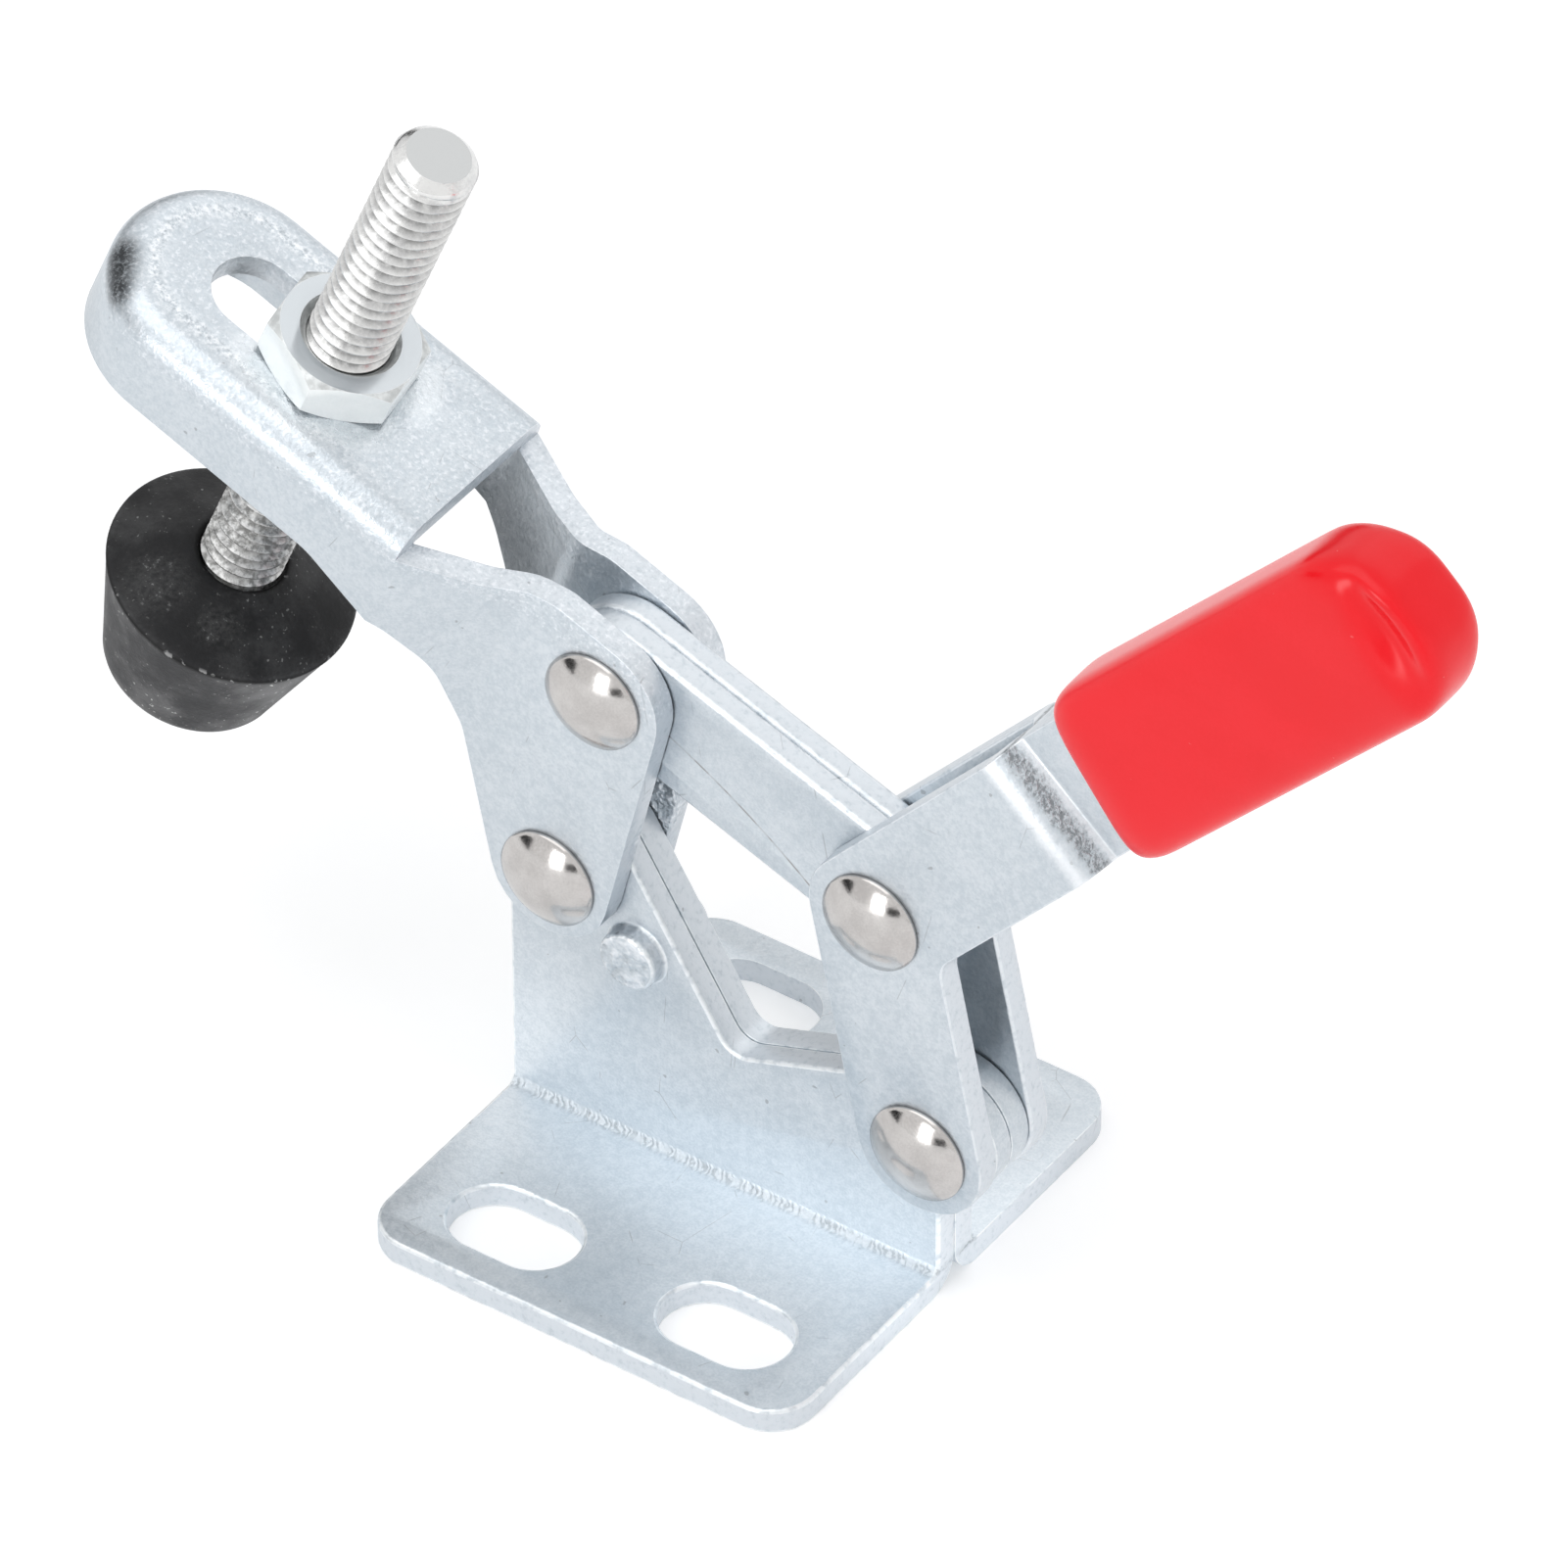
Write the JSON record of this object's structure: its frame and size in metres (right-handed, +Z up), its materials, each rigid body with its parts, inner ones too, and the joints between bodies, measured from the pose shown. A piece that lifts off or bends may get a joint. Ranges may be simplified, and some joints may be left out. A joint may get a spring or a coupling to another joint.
{
  "type": "toggle clamp",
  "caption": "Vertical handle toggle clamp with a flanged base, a U-shaped arm, a rubber tipped spindle and a dipped grip.",
  "frame": {"origin": "middle of the four base slots on the underside of the feet", "axes": "+X from the spindle towards the handle, +Z up, Y = 0 is the seam between the two base plates"},
  "size_m": [0.1091, 0.0408, 0.0799],
  "materials": {
    "zinc_steel": "satin zinc plating",
    "nickel": "polished nickel plating",
    "bright_zinc": "bright zinc plating",
    "red_vinyl": "dipped glossy vinyl",
    "black_rubber": "matte moulded rubber"
  },
  "bodies": {
    "base": {"base_plate_right": "zinc_steel", "base_plate_left": "zinc_steel"},
    "arm": {"arm": "zinc_steel", "rivet_arm_base": "nickel", "rivet_arm_link": "nickel"},
    "link": {"link_plate_right": "zinc_steel", "link_plate_left": "zinc_steel"},
    "handle": {"handle_plate_right": "zinc_steel", "handle_plate_left": "zinc_steel", "grip": "red_vinyl", "rivet_link_handle": "nickel", "rivet_handle_base": "nickel"},
    "nuts": {"nut_upper": "bright_zinc", "nut_lower": "bright_zinc"},
    "spindle": {"stud": "bright_zinc", "rubber_tip": "black_rubber"}
  },
  "joints": [
    {"name": "arm_hinge", "type": "hinge", "parent": "base", "child": "arm", "pos_m": [-0.013, 0, 0.0242], "axis": [0, -1, 0], "range_deg": [-49.4, 22.4]},
    {"name": "link_hinge", "type": "hinge", "parent": "arm", "child": "link", "pos_m": [-0.00904, 0, 0.04176], "axis": [0, -1, 0], "range_deg": [-41.1, 66.6]},
    {"name": "handle_hinge", "type": "hinge", "parent": "base", "child": "handle", "pos_m": [0.0175, 0, 0.01455], "axis": [0, -1, 0], "range_deg": [-47.3, 39]},
    {"name": "nut_slide", "type": "slide", "parent": "arm", "child": "nuts", "axis": [0.9245, 0, -0.3811], "range_m": [-0.0073, 0.0019]},
    {"name": "spindle_screw", "type": "slide", "parent": "nuts", "child": "spindle", "axis": [0.3811, 0, 0.9245], "range_m": [-0.019, 0.013]}
  ],
  "couplings": [
    {"joint": "handle_hinge", "follows": "arm_hinge", "ratio": 0.9516},
    {"joint": "link_hinge", "follows": "arm_hinge", "ratio": -1.2873}
  ]
}
